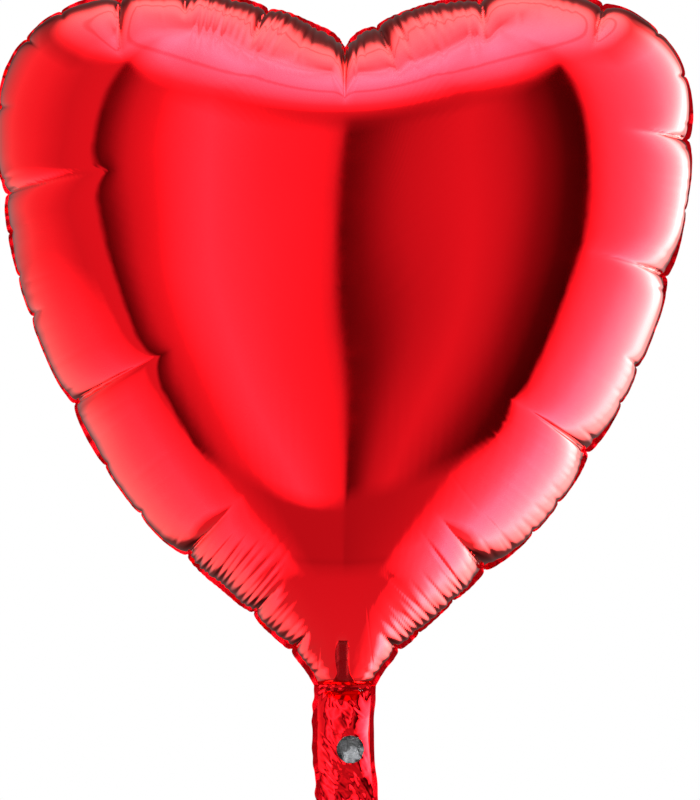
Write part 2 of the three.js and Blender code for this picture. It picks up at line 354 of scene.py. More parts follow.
class BalloonColours(bpy.types.PropertyGroup):
    foil: colour("Foil", "Metallised red film", (0.86, 0.0, 0.0055))
    seal: colour("Seal", "Red film where it is fused", (0.5, 0.0, 0.004))
    # Dark red of the film fused to the valve, also used as painted shade over the valve's slot and in the
    # neck's root crease.
    weld: colour("Weld", "Red film fused to the valve", (0.24, 0.0, 0.002))
    silver: colour("Silver", "The film's bare inner side", (0.2, 0.206, 0.215))
    clear: colour("Valve film", "Clear film of the valve", (0.25, 0.255, 0.26))


# ---- Outline and spokes ----


def spline(points, per_span=60):
    """A Catmull-Rom spline through the points, as dense points."""
    p = np.asarray(points, float)
    before = np.vstack([p[:1], p[:-2]])
    after = np.vstack([p[2:], p[-1:]])
    t = np.linspace(0, 1, per_span, endpoint=False)[None, :, None]
    a, b, c, d = (q[:, None, :] for q in (before, p[:-1], p[1:], after))
    v0, v1 = (c - a) / 2, (d - b) / 2
    cubic, square = 2 * b - 2 * c + v0 + v1, 3 * c - 3 * b - 2 * v0 - v1
    dense = cubic * t**3 + square * t**2 + v0 * t + b
    return np.vstack([dense.reshape(-1, 2), p[-1:]])


def outline_loop():
    """The rim from the neck's right corner round to its left one, then across the mouth.

    Gives the loop's points, how far along it each one is, and the rim's length without the mouth."""
    right = [(CORNER_X, 0.0)] + [(x * HALF_WIDTH, z * HEIGHT) for x, z in OUTLINE]
    left = [(-x, z) for x, z in reversed(right)]
    rim = np.vstack([spline(right)[:-1], spline(left)])
    mouth = np.column_stack([np.linspace(-CORNER_X, CORNER_X, 40), np.zeros(40)])[1:-1]
    loop = np.vstack([rim, mouth, rim[:1]])
    along = np.concatenate([[0], np.cumsum(np.linalg.norm(np.diff(loop, axis=0), axis=1))])
    return loop, along, along[len(rim) - 1]


def on_loop(loop, along, s):
    s = np.mod(s, along[-1])
    return np.column_stack([np.interp(s, along, loop[:, 0]), np.interp(s, along, loop[:, 1])])


def chord_height(points, loop, rays=48):
    """Height of a film over flat points inside the loop, from the two parts of each chord through them.

    The chords are turned so that the cleft's point is always midway between two, which keeps it smooth."""
    a, edge = loop[:-1], np.diff(loop, axis=0)
    total = np.zeros(len(points))
    rx, rz = a[None, :, 0] - points[:, None, 0], a[None, :, 1] - points[:, None, 1]
    first = np.arctan2(CLEFT_Z - points[:, 1], -points[:, 0])[:, None]
    for ray in range(rays):
        angle = first + math.pi * (ray + 0.5) / rays
        dx, dz = np.cos(angle), np.sin(angle)
        cross = dx * edge[None, :, 1] - dz * edge[None, :, 0]
        cross = np.where(np.abs(cross) < 1e-15, 1e-15, cross)
        where = (rx * dz - rz * dx) / cross
        reach = (rx * edge[None, :, 1] - rz * edge[None, :, 0]) / cross
        hit = (where >= 0) & (where <= 1)
        ahead = np.where(hit & (reach > 0), reach, np.inf).min(1)
        behind = np.where(hit & (reach <= 0), -reach, np.inf).min(1)
        total += 1 / np.maximum(ahead * behind, 1e-12)
    return np.sqrt(rays / (2 * total))


def smooth(t):
    t = np.clip(t, 0, 1)
    return t * t * (3 - 2 * t)


def lens(share):
    """How far a film of the neck stands out, as a share, from its middle at 0 to its edge at 1."""
    return 1 - np.abs(np.clip(share, -1, 1)) ** 3


def taut_rim(columns):
    """Nearly even points round the loop, their places on it, the rim's length, and the way out of the heart.

    The cleft and both corners of the mouth fall on points."""
    loop, along, rim_length = outline_loop()
    across = 6 * max(1, round((along[-1] - rim_length) / along[-1] * columns / 6))
    half = (columns - across) // 2
    other_half = columns - across - half
    up, down, mouth = (np.arange(count) / count for count in (half, other_half, across))
    mouth_places = rim_length + mouth * (along[-1] - rim_length)
    s = np.concatenate([up * rim_length / 2, (1 + down) * rim_length / 2, mouth_places])
    stencil = 9 * MM
    tangent = on_loop(loop, along, s + stencil) - on_loop(loop, along, s - stencil)
    tangent /= np.linalg.norm(tangent, axis=1, keepdims=True)
    out = np.column_stack([tangent[:, 1], -tangent[:, 0]])
    return on_loop(loop, along, s), s, rim_length, out


@functools.lru_cache(maxsize=1)
def taut_heart(columns, rows):
    """The front film without its gathers: points on a grid of rows from the rim in and columns round it.

    Also gives each column's place on the loop, the rim's length, and the way out of the heart at each column.
    Heights are measured at every second column of the right half, put in between, and mirrored."""
    rim, s, rim_length, out = taut_rim(columns)
    loop = outline_loop()[0]
    f = (np.arange(rows) / rows) ** ROW_CROWDING
    g = f[:, None, None]
    flat = (1 - g) * rim + g * MIDDLE
    step = max(1, len(loop) // LOOP_POINTS)
    coarse_loop = np.vstack([loop[:-1:step], loop[-1:]])
    half = int(np.searchsorted(s, rim_length / 2)) + 1

    def squared(part):
        return chord_height(part.reshape(-1, 2), coarse_loop).reshape(rows - 1, -1) ** 2

    measured = squared(flat[1:, :half:2])
    right = np.repeat(measured, 2, axis=1)[:, :half]
    ends = np.pad(measured, ((0, 0), (1, 1)), mode="reflect")
    between = (9 * (ends[:, 1:-2] + ends[:, 2:-1]) - ends[:, :-3] - ends[:, 3:]) / 16
    right[:, 1:-1:2] = between[:, : right[:, 1:-1:2].shape[1]]
    tall = np.zeros((rows, columns))
    tall[1:, :half] = right
    in_mouth = s >= rim_length
    corner = int(np.argmax(in_mouth))
    tall[1:, half:corner] = right[:, 1 : corner - half + 1][:, ::-1]
    tall[1:, in_mouth] = squared(flat[1:, in_mouth])
    crown = chord_height(MIDDLE[None, :], coarse_loop)[0]
    tall = smooth_middle(flat, tall)
    share = np.sqrt(np.maximum(tall, 0)) / crown
    height = share * (1 - CROWN_FLATTENING * share**3) / (1 - CROWN_FLATTENING) * CROWN
    mouth = np.where(in_mouth, SEAM_GAP + FLAT_BULGE * lens(rim[:, 0] / CORNER_X), SEAM_GAP)
    height = np.hypot(height, mouth * (1 - f[:, None]) ** 2)
    points = np.stack([flat[..., 0], -height, flat[..., 1]], axis=-1)
    return points, s, rim_length, out


def smooth_middle(flat, tall):
    """Evens out the squared heights along the middle, where the spokes run together.

    They blend into a fitted curved surface, which is even in x, so the film has no crease down its middle."""
    x, z = flat[..., 0], flat[..., 1]
    low, high, wide = 40 * MM, CLEFT_Z - 26 * MM, 30 * MM
    across, along = x / wide, (2 * z - low - high) / (high - low)
    inside = (np.abs(across) < 1) & (np.abs(along) < 1)

    def terms(across, along):
        return np.stack([across ** (2 * i) * along**j for i in range(4) for j in range(10)], axis=-1)

    fit = np.linalg.lstsq(terms(across[inside], along[inside]), tall[inside], rcond=None)[0]
    blend = smooth((1 - np.abs(across)) / 0.5) * smooth((1 - np.abs(along)) / 0.15)
    fitted = terms(np.clip(across, -1, 1), np.clip(along, -1, 1)) @ fit
    return tall + blend * (fitted - tall)


def grid_normals(points):
    round_rim = np.roll(points, -1, axis=1) - np.roll(points, 1, axis=1)
    inwards = np.empty_like(points)
    inwards[1:-1] = points[2:] - points[:-2]
    inwards[0], inwards[-1] = points[1] - points[0], points[-1] - points[-2]
    normal = np.cross(round_rim, inwards)
    return normal / np.linalg.norm(normal, axis=2, keepdims=True)


def cusp(x):
    """A sharp valley between two round shoulders: 1 at the middle and 0 from 1 outwards."""
    return 1 - np.sqrt(1 - (1 - np.clip(np.abs(x), 0, 1)) ** 2)


def ripple(x):
    """A round groove: 1 at the middle and 0 from 1 outwards."""
    return smooth(1 - np.abs(x))


def gathers_for(side, rim_length, settings):
    """Every crease of one panel.

    Each is its place, notch in the seam, depth in the face, length, half width, slant and shape. Both panels
    share the places and the notches of their gathers, because they share the seam."""
    shared = np.random.default_rng(11)
    own = np.random.default_rng(23 if side < 0 else 57)
    creases = []
    for share, strength, length, width in GATHERS + TUCKS:
        notch = strength * settings.notch_depth
        depth, reach = strength * settings.gather_depth, length * MM
        if side > 0:
            depth *= own.uniform(0.7, 1.15)
            reach *= own.uniform(0.75, 1.2)
        slant = own.uniform(-0.06, 0.06)
        place, half = share * rim_length, GATHER_NARROWING * width * MM
        creases.append((place, notch, depth - notch, reach, half, slant, cusp))
        pinch = strength * settings.pinch_depth
        creases.append((place, 0.3 * pinch, 0.7 * pinch, reach * 0.9, PINCH_WIDTH, slant, cusp))
        for _ in range(int(round(4 * strength))):
            beside = place + shared.uniform(3, 9) * shared.choice([-1, 1]) * MM
            fine = settings.wrinkle_depth * shared.uniform(0.5, 1.1)
            short = reach * own.uniform(0.3, 0.55)
            lean = own.uniform(-0.1, 0.1)
            creases.append((beside, 0.3 * fine, 0.7 * fine, short, BESIDE_WIDTH, lean, ripple))
    for start, end, count, depth, length in WRINKLED:
        spacing = (end - start) / count
        for number in range(count):
            place = (start + (number + shared.uniform(0.2, 0.8)) * spacing) * rim_length
            fine = settings.wrinkle_depth * depth * shared.uniform(0.5, 1.2)
            width = 0.45 * spacing * rim_length
            reach = length * own.uniform(0.6, 1.2) * MM
            shape = cusp if number % 2 and width > SHARPEST else ripple
            slant = own.uniform(-0.08, 0.08)
            creases.append((place, 0.3 * fine, 0.7 * fine, reach, width, slant, shape))
    return creases


def gathered_heart(side, settings):
    """The front film (side -1) or the back one (side 1) with its gathers, and its crown point.

    Both are made facing the front. A crease runs straight in from the rim, except beside the cleft, where it
    runs to the middle."""
    points, s, rim_length, out = taut_heart(settings.columns, settings.rows)
    normal = grid_normals(points)
    columns, spacing = settings.columns, s[1]
    height = -points[..., 1]
    sink = np.zeros(points.shape[:2])
    for place, notch, depth, length, width, slant, shape in gathers_for(side, rim_length, settings):
        centre = int(np.argmin(np.abs(s - place)))
        span = int((width + 0.45 * length) / spacing) + 3
        column = np.mod(np.arange(centre - span, centre + span + 1), columns)
        inward = -out[centre] + slant * np.array([-out[centre][1], out[centre][0]])
        to_middle = MIDDLE - points[0, centre, [0, 2]]
        at_cleft = math.exp(-(((place / rim_length - 0.5) / 0.012) ** 2))
        inward = (1 - at_cleft) * inward + at_cleft * to_middle / np.linalg.norm(to_middle)
        inward /= np.linalg.norm(inward)
        offset = points[:, column][..., [0, 2]] - points[0, centre, [0, 2]]
        depth_in = offset @ inward
        aside = offset @ np.array([-inward[1], inward[0]])
        q = np.hypot(depth_in, height[:, column] - SEAM_GAP) / length
        fade = np.clip(1 - q**2, 0, None) ** 1.4
        narrowed = width * (1 - 0.45 * np.clip(q, 0, 1))
        sink[:, column] += shape(aside / narrowed) * fade * (notch + depth * smooth(q / 0.22))
    sink += swell(points, side, settings.swell) * smooth(height / 0.03)
    if side < 0:
        sink += valve_fold(points[..., 0], points[..., 2])
    points = points - normal * sink[..., None]
    most = settings.front_overhang if side < 0 else settings.back_overhang
    points[..., [0, 2]] += overhang(points, s / s[-1], out, most)
    points[..., 1] = np.minimum(points[..., 1], -SEAM_GAP)
    inner, last = points[-2, :, 1].mean(), points[-1, :, 1].mean()
    crown = np.array([MIDDLE[0], last + (last - inner) / 3, MIDDLE[1]])
    return points, crown


def valve_fold(x, z):
    """The slot that the flat valve draws into the front film just above the mouth."""
    half, deepest, above, fade = 3.6 * MM, 1.1 * MM, 3 * MM, 5 * MM
    across = smooth(1.3 - np.abs(x - WELD_X) / half)
    up = smooth(z / (9 * MM)) * smooth((WELD_TOP + above - z) / fade)
    return deepest * across * up


def overhang(points, share, out, most):
    """How far the film bulges out past its own seam, less at the gathers, and only near the seam."""
    rise, end, fade, gather = 16 * MM, 55 * MM, 39 * MM, 0.012
    depth = np.abs(points[..., 1]) - SEAM_GAP
    profile = smooth(depth / rise) * smooth((end - depth) / fade)
    least = np.ones(len(share))
    for place, strength, *_ in GATHERS:
        least = np.minimum(least, 1 - min(strength, 1) * np.exp(-(((share - place) / gather) ** 2)))
    return (profile * least * most)[..., None] * out


def swell(points, side, height):
    """The broad, soft unevenness of the taut film."""
    rng = np.random.default_rng(5 if side < 0 else 6)
    x, z = points[..., 0], points[..., 2]
    total = np.zeros(x.shape)
    for _ in range(9):
        angle, phase = rng.uniform(0, 2 * math.pi, 2)
        wave = rng.uniform(0.07, 0.2)
        along = x * math.cos(angle) + z * math.sin(angle)
        total += np.sin(along * 2 * math.pi / wave + phase) * wave / 0.2
    return total * height / 3


# ---- Mesh helpers ----


def new_piece(name, points, faces, materials, face_materials=None, smooth_faces=True):
    mesh = bpy.data.meshes.new(name)
    mesh.from_pydata([tuple(p) for p in np.asarray(points)], [], faces)
    for material in materials:
        mesh.materials.append(material)
    if face_materials is not None:
        mesh.polygons.foreach_set("material_index", face_materials)
    mesh.polygons.foreach_set("use_smooth", [smooth_faces] * len(mesh.polygons))
    mesh.validate()
    mesh.update()
    piece = bpy.data.objects.new(name, mesh)
    bpy.context.scene.collection.objects.link(piece)
    return piece


def grid_faces(rows, columns, wrap, flip, start=0):
    """Quads of a grid whose points are stored row by row."""
    faces = []
    for row in range(rows - 1):
        for column in range(columns if wrap else columns - 1):
            following = (column + 1) % columns
            a, b = start + row * columns + column, start + row * columns + following
            c, d = b + columns, a + columns
            faces.append((a, d, c, b) if flip else (a, b, c, d))
    return faces


# ---- Materials ----


def socket(group, name, direction, kind, default=None):
    made = group.interface.new_socket(name=name, in_out=direction, socket_type=kind)
    if default is not None:
        made.default_value = default
    return made


def film_surface_group():
    """Fine scuffs and slight unevenness of a plastic film: a roughness and a height."""
    group = bpy.data.node_groups.new("Film surface", "ShaderNodeTree")
    socket(group, "Smoothest", "INPUT", "NodeSocketFloat", 0.06)
    socket(group, "Dullest", "INPUT", "NodeSocketFloat", 0.2)
    socket(group, "Scuff scale", "INPUT", "NodeSocketFloat", 60.0)
    socket(group, "Ripple scale", "INPUT", "NodeSocketFloat", 180.0)
    socket(group, "Roughness", "OUTPUT", "NodeSocketFloat")
    socket(group, "Height", "OUTPUT", "NodeSocketFloat")
    nodes, links = group.nodes, group.links
    inputs, outputs = nodes.new("NodeGroupInput"), nodes.new("NodeGroupOutput")
    place = nodes.new("ShaderNodeTexCoord")
    cloudy = nodes.new("ShaderNodeTexNoise")
    cloudy.inputs["Detail"].default_value = 6
    links.new(place.outputs["Object"], cloudy.inputs["Vector"])
    links.new(inputs.outputs["Scuff scale"], cloudy.inputs["Scale"])
    dulled = nodes.new("ShaderNodeMapRange")
    dulled.inputs["From Min"].default_value = 0.35
    dulled.inputs["From Max"].default_value = 0.8
    links.new(cloudy.outputs["Fac"], dulled.inputs["Value"])
    links.new(inputs.outputs["Smoothest"], dulled.inputs["To Min"])
    links.new(inputs.outputs["Dullest"], dulled.inputs["To Max"])
    links.new(dulled.outputs["Result"], outputs.inputs["Roughness"])
    ripple = nodes.new("ShaderNodeTexNoise")
    ripple.inputs["Detail"].default_value = 3
    links.new(place.outputs["Object"], ripple.inputs["Vector"])
    links.new(inputs.outputs["Ripple scale"], ripple.inputs["Scale"])
    links.new(ripple.outputs["Fac"], outputs.inputs["Height"])
    return group


def film_material(name, colour, metallic, coat, smoothest, dullest, ripple, strength, alpha=1.0):
    material = bpy.data.materials.new(name)
    material.use_nodes = True
    material.diffuse_color = (*colour, 1)
    nodes, links = material.node_tree.nodes, material.node_tree.links
    shader = nodes["Principled BSDF"]
    shader.inputs["Metallic"].default_value = metallic
    shader.inputs["Coat Weight"].default_value = coat
    shader.inputs["Coat Roughness"].default_value = 0.05
    shader.inputs["Specular Tint"].default_value = (1, 0.82, 0.78, 1) if metallic else (1, 1, 1, 1)
    shader.inputs["Alpha"].default_value = alpha
    surface = nodes.new("ShaderNodeGroup")
    surface.node_tree = bpy.data.node_groups.get("Film surface") or film_surface_group()
    surface.inputs["Smoothest"].default_value = smoothest
    surface.inputs["Dullest"].default_value = dullest
    surface.inputs["Ripple scale"].default_value = ripple
    links.new(surface.outputs["Roughness"], shader.inputs["Roughness"])
    bump = nodes.new("ShaderNodeBump")
    bump.inputs["Strength"].default_value = strength
    bump.inputs["Distance"].default_value = 0.2 * MM
    links.new(surface.outputs["Height"], bump.inputs["Height"])
    links.new(bump.outputs["Normal"], shader.inputs["Normal"])
    shade = nodes.new("ShaderNodeTexNoise")
    shade.inputs["Scale"].default_value = 14
    place = nodes.new("ShaderNodeTexCoord")
    links.new(place.outputs["Object"], shade.inputs["Vector"])
    ramp = nodes.new("ShaderNodeValToRGB")
    ramp.color_ramp.elements[0].color = (*(0.93 * c for c in colour), 1)
    ramp.color_ramp.elements[1].color = (*colour, 1)
    links.new(shade.outputs["Fac"], ramp.inputs["Fac"])
    links.new(ramp.outputs["Color"], shader.inputs["Base Color"])
    return material


def material_named(name):
    made = bpy.data.materials.get(name)
    if made:
        return made
    colours = bpy.context.scene.balloon_colours
    recipes = {
        "Red foil": (colours.foil, 1, 0.15, 0.05, 0.1, 240, 0.02),
        "Fused red foil": (colours.seal, 1, 0.05, 0.16, 0.32, 700, 0.3),
        # Dark fused film, also used as painted shade in the root crease and over the valve's slot.
        "Dark fused film and painted shade": (colours.weld, 1, 0.05, 0.12, 0.35, 900, 0.5),
        "Silver side": (colours.silver, 1, 0, 0.2, 0.4, 240, 0.2),
        "Valve film": (colours.clear, 0, 0.2, 0.08, 0.2, 200, 0.1, 0.1),
    }
    colour, *rest = recipes[name]
    return film_material(name, tuple(colour), *rest)


# ---- Heart ----


def heart_foil(name, side, node):
    settings = bpy.context.scene.balloon_film
    points, crown = gathered_heart(side, settings)
    if side > 0:
        points[..., 1] *= -1
        crown[1] *= -1
    rows, columns = points.shape[:2]
    faces = grid_faces(rows, columns, True, side > 0)
    pole, last = rows * columns, (rows - 1) * columns
    for column in range(columns):
        a, b = last + column, last + (column + 1) % columns
        faces.append((b, a, pole) if side > 0 else (a, b, pole))
    piece = new_piece(name, np.vstack([points.reshape(-1, 3), crown]), faces, [material_named("Red foil")])
    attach(piece, "heart")
    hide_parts(node)
    return piece


def valve_weld_and_slot_shade(front):
    """The narrow patch above the mouth where the valve is fused to the front film. Its dark colour is partly
    painted shade, darkening the slot that the valve draws into the film.
    """
    surface = BVHTree.FromObject(front, bpy.context.evaluated_depsgraph_get())
    outer = np.zeros((40, 13, 3))
    for row, z in enumerate(np.linspace(WELD_LOW, WELD_TOP, 40)):
        narrower, wider = smooth((z - 23 * MM) / (4 * MM)), smooth((9 * MM - z) / (6 * MM))
        half = (3.5 - 1.1 * narrower + 2.2 * wider) * MM
        for column, share in enumerate(np.linspace(-1, 1, 13)):
            x = WELD_X + half * share + 0.5 * MM * math.sin(z * 260)
            hit, normal, _, _ = surface.ray_cast(Vector((x, -0.3, z)), Vector((0, 1, 0)))
            outer[row, column] = hit + normal * 0.2 * MM
    inner = outer + np.array([0, 0.3 * MM, 0])
    # The dark fused colour here is also painted shade of the slot's fold.
    piece = closed_piece("valve_weld_and_slot_shade", outer, inner, [material_named("Dark fused film and painted shade")])
    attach(piece, "heart")


class BALLOON_OT_heart(bpy.types.Operator):
    """Make the front and the back film of the heart, gathered along the seam"""

    bl_idname = "balloon.heart"
    bl_label = "Heart Films"

    def execute(self, context):
        for name, side, node in (("front_foil", -1, "front_panel"), ("back_foil", 1, "back_panel")):
            heart_foil(name, side, node)
        valve_weld_and_slot_shade(bpy.data.objects["front_foil"])
        return {"FINISHED"}


# ---- Sealed edges ----


def closed_piece(name, outer, inner, materials):
    """A thin closed body between two grids of points.

    The outer one has the first material, and the inner one the last."""
    rows, columns = outer.shape[:2]
    count = rows * columns
    faces = grid_faces(rows, columns, False, False) + grid_faces(rows, columns, False, True, count)
    index = np.arange(count).reshape(rows, columns)
    border = [*index[0], *index[1:, -1], *index[-1, -2::-1], *index[-2:0:-1, 0]]
    faces += [(b, a, a + count, b + count) for a, b in zip(border, border[1:] + border[:1])]
    quads = (rows - 1) * (columns - 1)
    which = [0] * quads + [len(materials) - 1] * quads + [0] * len(border)
    piece = new_piece(name, np.vstack([outer.reshape(-1, 3), inner.reshape(-1, 3)]), faces, materials, which)
    work = bmesh.new()
    work.from_mesh(piece.data)
    bmesh.ops.recalc_face_normals(work, faces=work.faces)
    work.to_mesh(piece.data)
    work.free()
    piece.data.set_sharp_from_angle(angle=math.radians(50))
    return piece


def crimp_tree():
    """Adds a row of pressed ribs along the marked line of a sealed strip."""
    tree = bpy.data.node_groups.new("Crimped seal", "GeometryNodeTree")
    socket(tree, "Geometry", "INPUT", "NodeSocketGeometry")
    for label in ("Spacing", "Length", "Width", "Height", "Half strip"):
        socket(tree, label, "INPUT", "NodeSocketFloat", 1 * MM)
    socket(tree, "Material", "INPUT", "NodeSocketMaterial")
    socket(tree, "Geometry", "OUTPUT", "NodeSocketGeometry")
    nodes, links = tree.nodes, tree.links
    given, made = nodes.new("NodeGroupInput"), nodes.new("NodeGroupOutput")
    facing = nodes.new("GeometryNodeInputNormal")
    kept = nodes.new("GeometryNodeCaptureAttribute")
    kept.capture_items.new("VECTOR", "Facing")
    links.new(given.outputs["Geometry"], kept.inputs["Geometry"])
    links.new(facing.outputs["Normal"], kept.inputs["Facing"])
    marked = nodes.new("GeometryNodeInputNamedAttribute")
    marked.data_type = "BOOLEAN"
    marked.inputs["Name"].default_value = "rib_line"
    line = nodes.new("GeometryNodeMeshToCurve")
    links.new(kept.outputs["Geometry"], line.inputs["Mesh"])
    links.new(marked.outputs["Attribute"], line.inputs["Selection"])
    along = nodes.new("GeometryNodeCurveToPoints")
    along.mode = "LENGTH"
    links.new(line.outputs["Curve"], along.inputs["Curve"])
    links.new(given.outputs["Spacing"], along.inputs["Length"])
    turned = nodes.new("FunctionNodeAxesToRotation")
    turned.primary_axis, turned.secondary_axis = "Z", "X"
    links.new(kept.outputs["Facing"], turned.inputs["Primary Axis"])
    links.new(along.outputs["Tangent"], turned.inputs["Secondary Axis"])
    size = nodes.new("ShaderNodeCombineXYZ")
    for label, axis in (("Width", "X"), ("Length", "Y"), ("Height", "Z")):
        links.new(given.outputs[label], size.inputs[axis])
    rib = nodes.new("GeometryNodeMeshCube")
    links.new(size.outputs[0], rib.inputs["Size"])
    inward = nodes.new("ShaderNodeVectorMath")
    inward.operation = "SCALE"
    links.new(kept.outputs["Facing"], inward.inputs[0])
    lowered = nodes.new("ShaderNodeMath")
    lowered.operation = "MULTIPLY"
    lowered.inputs[1].default_value = -1
    links.new(given.outputs["Half strip"], lowered.inputs[0])
    links.new(lowered.outputs[0], inward.inputs["Scale"])
    sunk = nodes.new("GeometryNodeSetPosition")
    links.new(along.outputs["Points"], sunk.inputs["Geometry"])
    links.new(inward.outputs[0], sunk.inputs["Offset"])
    ribs = nodes.new("GeometryNodeInstanceOnPoints")
    links.new(sunk.outputs["Geometry"], ribs.inputs["Points"])
    links.new(rib.outputs["Mesh"], ribs.inputs["Instance"])
    links.new(turned.outputs["Rotation"], ribs.inputs["Rotation"])
    joined = nodes.new("GeometryNodeJoinGeometry")
    links.new(ribs.outputs["Instances"], joined.inputs["Geometry"])
    links.new(given.outputs["Geometry"], joined.inputs["Geometry"])
    real = nodes.new("GeometryNodeRealizeInstances")
    links.new(joined.outputs["Geometry"], real.inputs["Geometry"])
    coloured = nodes.new("GeometryNodeSetMaterial")
    links.new(real.outputs["Geometry"], coloured.inputs["Geometry"])
    links.new(given.outputs["Material"], coloured.inputs["Material"])
    links.new(coloured.outputs["Geometry"], made.inputs["Geometry"])
    return tree


def sealed_strip(name, offsets, points, rib_length):
    """A fused strip from grids of points: rows across it at the offsets, columns along it, with its ribs."""
    settings = bpy.context.scene.balloon_seal
    half = np.array([0, settings.thickness / 2, 0])
    piece = closed_piece(name, points - half, points + half, [material_named("Fused red foil")])
    mesh = piece.data
    marked = np.zeros(len(mesh.vertices), bool)
    middle, columns = len(offsets) // 2, points.shape[1]
    marked[middle * columns : (middle + 1) * columns] = True
    mesh.attributes.new("rib_line", "BOOLEAN", "POINT").data.foreach_set("value", marked)
    tree = bpy.data.node_groups.get("Crimped seal") or crimp_tree()
    crimp = piece.modifiers.new("Crimp", "NODES")
    crimp.node_group = tree
    sizes = {
        "Spacing": settings.rib_spacing,
        "Length": rib_length,
        "Width": settings.rib_spacing * 0.5,
        "Height": settings.thickness + 2 * settings.rib_rise,
        "Half strip": settings.thickness / 2,
        "Material": material_named("Fused red foil"),
    }
    for item in tree.interface.items_tree:
        if item.item_type == "SOCKET" and item.in_out == "INPUT" and item.name in sizes:
            crimp[item.identifier] = sizes[item.name]
    bpy.context.view_layer.update()
    evaluated = piece.evaluated_get(bpy.context.evaluated_depsgraph_get())
    done = bpy.data.meshes.new_from_object(evaluated)
    piece.modifiers.clear()
    piece.data = done
    bpy.data.meshes.remove(mesh)
    return piece


def waves(s, seed, shortest, longest, count=7):
    """A smooth random wave along a length, mostly between -1 and 1."""
    rng = np.random.default_rng(seed)
    total = np.zeros(np.shape(s))
    for _ in range(count):
        total += np.sin(2 * math.pi * (s / rng.uniform(shortest, longest) + rng.uniform()))
    return total / math.sqrt(count)


class BALLOON_OT_rim_seal(bpy.types.Operator):
    """Make the crimped flange round the heart, where its two films are fused"""

    bl_idname = "balloon.rim_seal"
    bl_label = "Rim Seal"

    def execute(self, context):
        film = context.scene.balloon_film
        _, s, rim_length, out = taut_rim(film.columns)
        front = bpy.data.objects["front_foil"].data.vertices
        seam = np.array([front[i].co[:] for i in range(film.columns)])
        on_rim = s <= rim_length
        seam, out, s = seam[on_rim], out[on_rim], s[on_rim]
        offsets = np.array([-1.0, -0.3, 0.3, 0.8, 1.2, 1.6, 2.0, FLANGE / MM]) * MM
        points = np.zeros((len(offsets), len(s), 3))
        points[..., [0, 2]] = seam[None, :, [0, 2]] + offsets[:, None, None] * out[None]
        ruffle = context.scene.balloon_seal.ruffle * waves(s, 3, 9 * MM, 30 * MM)
        points[..., 1] = np.clip(offsets / FLANGE, 0, 1)[:, None] ** 1.3 * ruffle * smooth(s / 0.01)
        piece = sealed_strip("rim_seal_strip", offsets, points, 1.6 * MM)
        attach(piece, "heart")
        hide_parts("rim_seal")
        return {"FINISHED"}


# ---- Neck and tail ----

# How far the neck's middle drifts sideways, as a share, by the distance below the root.
MIDDLE_LINE = spline([(0, 0), (0.03, -0.45), (0.062, 0.5), (0.096, 1)], 20)


def middle_x(z):
    drift = bpy.context.scene.balloon_neck.drift
    return drift * np.interp(-z, MIDDLE_LINE[:, 0], MIDDLE_LINE[:, 1])


def flare(z):
    """How much wider than the neck each side of the tail is at a height."""
    share = np.clip((TAIL_HIGH[2] - z) / (TAIL_HIGH[2] - TAIL_LOW[2]), 0, 1)
    return (TAIL_SEAL_HIGH[0] - NECK_SEAL_HIGH[0]) * share**1.5


def folds(x, z, seed, count, shortest, longest):
    """Sharp folds of crumpled film: patches of straight pleats, between about -1 and 1."""
    rng = np.random.default_rng(seed)
    total = np.zeros(np.shape(x))
    for _ in range(count):
        angle, phase = rng.uniform(0, math.pi), rng.uniform()
        wave, spread = rng.uniform(shortest, longest), rng.uniform(8, 24) * MM
        at_x, at_z = rng.uniform(-14, 14) * MM, rng.uniform(-96, -4) * MM
        pleat = np.abs(np.mod((x * math.cos(angle) + z * math.sin(angle)) / wave + phase, 1) - 0.5) * 4 - 1
        near = np.exp(-((x - at_x) ** 2 + (z - at_z) ** 2) / (2 * spread**2))
        total += pleat * near * (wave / longest)
    return total / 1.6


def streaks(x, z, seed, count):
    """Short straight creases that run down to the right, some raised and some sunk."""
    rng = np.random.default_rng(seed)
    total = np.zeros(np.shape(x))
    for _ in range(count):
        at_x, at_z = rng.uniform(-15, 15) * MM, rng.uniform(-96, -8) * MM
        angle, length = math.radians(rng.normal(-54, 14)), rng.uniform(4, 13) * MM
        width, rise = rng.uniform(0.7, 1.6) * MM, rng.choice([-1, 1]) * rng.uniform(0.4, 1)
        along = (x - at_x) * math.cos(angle) + (z - at_z) * math.sin(angle)
        aside = (z - at_z) * math.cos(angle) - (x - at_x) * math.sin(angle)
        total += rise * ripple(aside / width) * smooth(1.2 - np.abs(along) / length)
    return np.clip(total, -1.5, 1.5)


def root_folds(x, z):
    """The small folds that spread down from the pinched root of the neck."""
    rng = np.random.default_rng(29)
    total = np.zeros(np.shape(x))
    for _ in range(9):
        place, length = rng.uniform(-12, 12) * MM, rng.uniform(6, 18) * MM
        width = rng.uniform(1.2, 4) * MM
        lean = place * 25 + rng.uniform(-0.35, 0.35)
        aside = x - place + lean * z
        total += rng.uniform(0.4, 1) * cusp(aside / width) * smooth(1 + (z + 2 * MM) / length)
    return total


def sheet_middle(x, z):
    """How far the whole flattened neck leans forward or back at a point."""
    settings = bpy.context.scene.balloon_neck
    away = smooth(-z / 0.012)
    curl = -1.2 * MM * smooth((-z - 0.05) / 0.045)
    return away * (0.55 * settings.crumple * folds(x, z, 41, 16, 9 * MM, 30 * MM)) + curl


